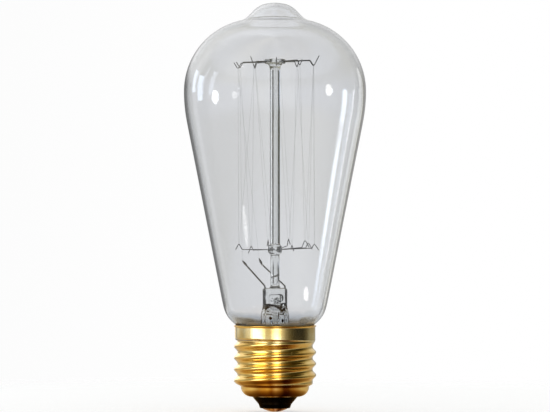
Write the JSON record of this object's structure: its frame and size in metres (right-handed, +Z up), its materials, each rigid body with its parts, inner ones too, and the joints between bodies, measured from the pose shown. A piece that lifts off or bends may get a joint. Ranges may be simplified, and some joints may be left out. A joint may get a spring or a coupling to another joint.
{
  "type": "filament bulb",
  "caption": "Clear pear-shaped incandescent lamp: a squirrel-cage filament strung on wire hooks round a glass rod, on an Edison screw cap that lights it from a lamp holder.",
  "frame": {"origin": "tip of the centre contact, on the lamp's axis", "axes": "+Z up the lamp's axis from the contact to the nipple of the glass; the pictured front looks along -Y; both nickel leads lean towards -X"},
  "size_m": [0.058, 0.058, 0.1301],
  "materials": {
    "envelope_glass": "clear blown soda-lime glass, fire polished",
    "stem_glass": "clear drawn and pressed lead glass",
    "cap_brass": "rolled and drawn sheet, polished, lightly tarnished",
    "vitrite": "opaque black glass, moulded, glossy",
    "contact_brass": "stamped sheet, worn",
    "solder": "soft solder, dull grey",
    "cement": "baked phenolic and marble-flour cement",
    "support_wire": "drawn molybdenum wire, grey",
    "tungsten": "drawn tungsten wire, dark grey",
    "nickel": "drawn nickel wire and crimped sheet",
    "copper": "drawn copper-clad wire"
  },
  "bodies": {
    "root": {"glass_envelope": "envelope_glass", "screw_shell": "cap_brass", "base_insulator": "vitrite", "contact_plate": "contact_brass", "contact_solder": "solder", "rim_solder": "solder", "basing_cement": "cement", "stem_flare": "stem_glass", "stem_press": "stem_glass", "exhaust_tube": "stem_glass", "centre_rod": "stem_glass", "lower_bead": "stem_glass", "upper_button": "stem_glass", "filament": "tungsten", "inner_lead_near": "nickel", "inner_lead_far": "nickel", "filament_clamp_near": "nickel", "filament_clamp_far": "nickel", "seal_wire_near": "copper", "seal_wire_far": "copper", "side_lead": "copper", "centre_lead": "copper", "upper_support_1": "support_wire", "upper_support_2": "support_wire", "upper_support_3": "support_wire", "upper_support_4": "support_wire", "upper_support_5": "support_wire", "upper_support_6": "support_wire", "upper_support_7": "support_wire", "upper_support_8": "support_wire", "upper_support_9": "support_wire", "upper_support_10": "support_wire", "lower_support_1": "support_wire", "lower_support_2": "support_wire", "lower_support_3": "support_wire", "lower_support_4": "support_wire", "lower_support_5": "support_wire", "lower_support_6": "support_wire", "lower_support_7": "support_wire", "lower_support_8": "support_wire", "lower_support_9": "support_wire"}
  },
  "joints": []
}
